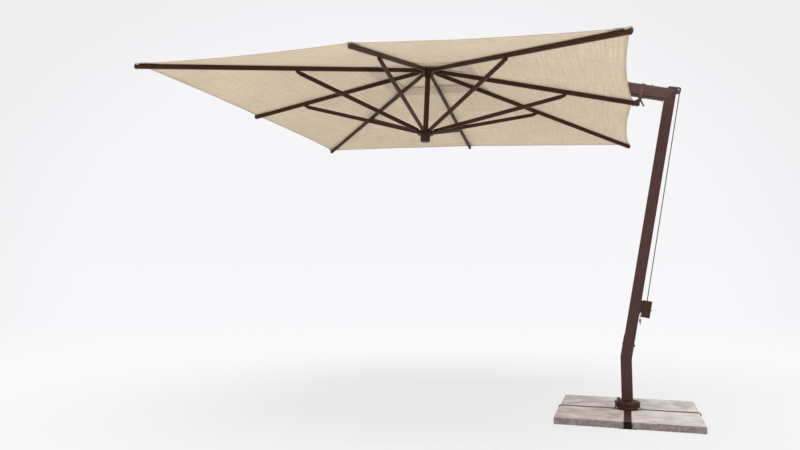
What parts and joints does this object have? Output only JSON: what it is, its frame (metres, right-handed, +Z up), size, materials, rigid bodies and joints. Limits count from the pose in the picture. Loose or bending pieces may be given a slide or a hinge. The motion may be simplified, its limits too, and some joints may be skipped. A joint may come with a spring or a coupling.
{
  "type": "cantilever parasol",
  "caption": "Square side-mast parasol: folding ribbed canopy hung from a raked boom, rope winch, swivel and slab-weighted cross base.",
  "frame": {"origin": "on the ground under the swivel axis", "axes": "+Z up along the swivel axis, the boom and canopy reach towards -X, +Y is the side away from the front of the base"},
  "size_m": [3.969, 3.5556, 3.1577],
  "materials": {
    "bronze_coated_steel": "fine textured dark bronze powder coat",
    "bronze_coated_aluminium": "fine textured dark bronze powder coat",
    "dark_fittings": "dark brown moulded nylon",
    "zinc_steel": "zinc plated",
    "white_bush": "smooth acetal",
    "concrete": "rough cast concrete",
    "linen_canopy": "woven slub canopy fabric",
    "rope_and_webbing": "braided and woven polyester",
    "toggle_beige": "plain turned toggle"
  },
  "bodies": {
    "base": {"base_cross": "bronze_coated_steel", "slabs": "concrete", "cross_end_caps": "dark_fittings", "swivel_base": "bronze_coated_steel", "flange_bolts": "zinc_steel"},
    "mast_assembly": {"swivel_bush": "white_bush", "swivel_cover": "bronze_coated_steel", "lower_post": "bronze_coated_steel", "mast": "bronze_coated_steel", "mast_insert": "zinc_steel", "mast_plate": "bronze_coated_steel", "mast_bolts": "bronze_coated_steel", "corner_insert": "zinc_steel", "corner_cap": "bronze_coated_aluminium", "arm": "bronze_coated_aluminium", "arm_rail": "bronze_coated_aluminium", "arm_knob": "dark_fittings", "hub_bracket": "bronze_coated_steel", "pivot_pins": "zinc_steel", "winch_housing": "bronze_coated_steel", "winch_back_plate": "dark_fittings", "winch_screws": "zinc_steel", "winch_bushes": "white_bush", "lift_rope": "rope_and_webbing", "rope_toggle": "toggle_beige", "tie_strap": "rope_and_webbing"},
    "lock_plunger": {"lock_knob": "dark_fittings"},
    "pulley": {"corner_pulley": "dark_fittings"},
    "winch_reel": {"winch_drum": "dark_fittings", "winch_shaft": "zinc_steel"},
    "canopy_hub": {"upper_hub": "bronze_coated_aluminium", "canopy": "linen_canopy", "vent_cap": "linen_canopy"},
    "rib_arm_1": {"rib_1": "bronze_coated_aluminium", "rib_fittings_1": "dark_fittings"},
    "strut_arm_1": {"strut_1": "bronze_coated_aluminium"},
    "rib_arm_2": {"rib_2": "bronze_coated_aluminium", "rib_fittings_2": "dark_fittings"},
    "strut_arm_2": {"strut_2": "bronze_coated_aluminium"},
    "rib_arm_3": {"rib_3": "bronze_coated_aluminium", "rib_fittings_3": "dark_fittings"},
    "strut_arm_3": {"strut_3": "bronze_coated_aluminium"},
    "rib_arm_4": {"rib_4": "bronze_coated_aluminium", "rib_fittings_4": "dark_fittings"},
    "strut_arm_4": {"strut_4": "bronze_coated_aluminium"},
    "rib_arm_5": {"rib_5": "bronze_coated_aluminium", "rib_fittings_5": "dark_fittings"},
    "strut_arm_5": {"strut_5": "bronze_coated_aluminium"},
    "rib_arm_6": {"rib_6": "bronze_coated_aluminium", "rib_fittings_6": "dark_fittings"},
    "strut_arm_6": {"strut_6": "bronze_coated_aluminium"},
    "rib_arm_7": {"rib_7": "bronze_coated_aluminium", "rib_fittings_7": "dark_fittings"},
    "strut_arm_7": {"strut_7": "bronze_coated_aluminium"},
    "rib_arm_8": {"rib_8": "bronze_coated_aluminium", "rib_fittings_8": "dark_fittings"},
    "strut_arm_8": {"strut_8": "bronze_coated_aluminium"},
    "runner": {"hub_tube": "bronze_coated_aluminium", "lower_hub": "bronze_coated_aluminium", "lower_hub_cup": "bronze_coated_aluminium"}
  },
  "joints": [
    {"name": "swivel", "type": "hinge", "parent": "base", "child": "mast_assembly", "pos_m": [0, 0, 0.1], "axis": [0, 0, 1], "continuous": true},
    {"name": "lock_pull", "type": "slide", "parent": "mast_assembly", "child": "lock_plunger", "axis": [0, 0, 1], "range_m": [0, 0.012]},
    {"name": "canopy_tilt", "type": "hinge", "parent": "mast_assembly", "child": "canopy_hub", "pos_m": [-1.63874, 0, 3.01495], "axis": [0, 1, 0], "range_deg": [0, 8]},
    {"name": "rib_1_fold", "type": "hinge", "parent": "canopy_hub", "child": "rib_arm_1", "pos_m": [-1.58306, 0, 2.96427], "axis": [0, 1, 0], "range_deg": [0, 70.62]},
    {"name": "strut_1_fold", "type": "hinge", "parent": "rib_arm_1", "child": "strut_arm_1", "pos_m": [-0.43953, 0, 2.63024], "axis": [0, 1, 0], "range_deg": [-141.13, 0]},
    {"name": "rib_2_fold", "type": "hinge", "parent": "canopy_hub", "child": "rib_arm_2", "pos_m": [-1.60003, 0.04101, 2.96507], "axis": [-0.7063, 0.7071, 0.0333], "range_deg": [0, 72.73]},
    {"name": "strut_2_fold", "type": "hinge", "parent": "rib_arm_2", "child": "strut_arm_2", "pos_m": [-0.79251, 0.85984, 2.70602], "axis": [-0.7063, 0.7071, 0.0333], "range_deg": [-139.99, 0]},
    {"name": "rib_3_fold", "type": "hinge", "parent": "canopy_hub", "child": "rib_arm_3", "pos_m": [-1.641, 0.058, 2.967], "axis": [-0.9989, 0, 0.0471], "range_deg": [0, 70.62]},
    {"name": "strut_3_fold", "type": "hinge", "parent": "rib_arm_3", "child": "strut_arm_3", "pos_m": [-1.65418, 1.216, 2.68752], "axis": [-0.9989, 0, 0.0471], "range_deg": [-141.13, 0]},
    {"name": "rib_4_fold", "type": "hinge", "parent": "canopy_hub", "child": "rib_arm_4", "pos_m": [-1.68197, 0.04101, 2.96893], "axis": [-0.7063, -0.7071, 0.0333], "range_deg": [0, 72.73]},
    {"name": "strut_4_fold", "type": "hinge", "parent": "rib_arm_4", "child": "strut_arm_4", "pos_m": [-2.51029, 0.85984, 2.78703], "axis": [-0.7063, -0.7071, 0.0333], "range_deg": [-139.99, 0]},
    {"name": "canopy_fold", "type": "hinge", "parent": "canopy_hub", "child": "rib_arm_5", "pos_m": [-1.69894, 0, 2.96973], "axis": [0, -1, 0], "range_deg": [0, 70.42], "deforming": ["canopy", "vent_cap"]},
    {"name": "strut_5_fold", "type": "hinge", "parent": "rib_arm_5", "child": "strut_arm_5", "pos_m": [-2.86883, 0, 2.7448], "axis": [0, -1, 0], "range_deg": [-141.13, 0]},
    {"name": "rib_6_fold", "type": "hinge", "parent": "canopy_hub", "child": "rib_arm_6", "pos_m": [-1.68197, -0.04101, 2.96893], "axis": [0.7063, -0.7071, -0.0333], "range_deg": [0, 72.73]},
    {"name": "strut_6_fold", "type": "hinge", "parent": "rib_arm_6", "child": "strut_arm_6", "pos_m": [-2.51029, -0.85984, 2.78703], "axis": [0.7063, -0.7071, -0.0333], "range_deg": [-139.99, 0]},
    {"name": "rib_7_fold", "type": "hinge", "parent": "canopy_hub", "child": "rib_arm_7", "pos_m": [-1.641, -0.058, 2.967], "axis": [0.9989, 0, -0.0471], "range_deg": [0, 70.62]},
    {"name": "strut_7_fold", "type": "hinge", "parent": "rib_arm_7", "child": "strut_arm_7", "pos_m": [-1.65418, -1.216, 2.68752], "axis": [0.9989, 0, -0.0471], "range_deg": [-141.13, 0]},
    {"name": "rib_8_fold", "type": "hinge", "parent": "canopy_hub", "child": "rib_arm_8", "pos_m": [-1.60003, -0.04101, 2.96507], "axis": [0.7063, 0.7071, -0.0333], "range_deg": [0, 72.73]},
    {"name": "strut_8_fold", "type": "hinge", "parent": "rib_arm_8", "child": "strut_arm_8", "pos_m": [-0.79251, -0.85984, 2.70602], "axis": [0.7063, 0.7071, -0.0333], "range_deg": [-139.99, 0]},
    {"name": "runner_level", "type": "hinge", "parent": "strut_arm_5", "child": "runner", "pos_m": [-1.7253, 0, 2.41078], "axis": [0, -1, 0], "range_deg": [0, 70.62]},
    {"name": "winch_turn", "type": "hinge", "parent": "mast_assembly", "child": "winch_reel", "pos_m": [0.15555, 0, 0.84125], "axis": [0.9831, 0, -0.1831], "range_deg": [0, 6105.4]},
    {"name": "pulley_spin", "type": "hinge", "parent": "mast_assembly", "child": "pulley", "pos_m": [0.45583, 0, 2.59164], "axis": [0, -1, 0], "range_deg": [0, 8301.5]}
  ],
  "couplings": [
    {"joint": "rib_1_fold", "follows": "canopy_fold", "ratio": 1},
    {"joint": "strut_1_fold", "follows": "canopy_fold", "ratio": -2},
    {"joint": "rib_2_fold", "follows": "canopy_fold", "ratio": 1.03},
    {"joint": "strut_2_fold", "follows": "canopy_fold", "ratio": -1.9838},
    {"joint": "rib_3_fold", "follows": "canopy_fold", "ratio": 1},
    {"joint": "strut_3_fold", "follows": "canopy_fold", "ratio": -2},
    {"joint": "rib_4_fold", "follows": "canopy_fold", "ratio": 1.03},
    {"joint": "strut_4_fold", "follows": "canopy_fold", "ratio": -1.9838},
    {"joint": "strut_5_fold", "follows": "canopy_fold", "ratio": -2},
    {"joint": "rib_6_fold", "follows": "canopy_fold", "ratio": 1.03},
    {"joint": "strut_6_fold", "follows": "canopy_fold", "ratio": -1.9838},
    {"joint": "rib_7_fold", "follows": "canopy_fold", "ratio": 1},
    {"joint": "strut_7_fold", "follows": "canopy_fold", "ratio": -2},
    {"joint": "rib_8_fold", "follows": "canopy_fold", "ratio": 1.03},
    {"joint": "strut_8_fold", "follows": "canopy_fold", "ratio": -1.9838},
    {"joint": "runner_level", "follows": "canopy_fold", "ratio": 1},
    {"joint": "winch_turn", "follows": "canopy_fold", "ratio": 86.632},
    {"joint": "pulley_spin", "follows": "canopy_fold", "ratio": 117.82}
  ]
}
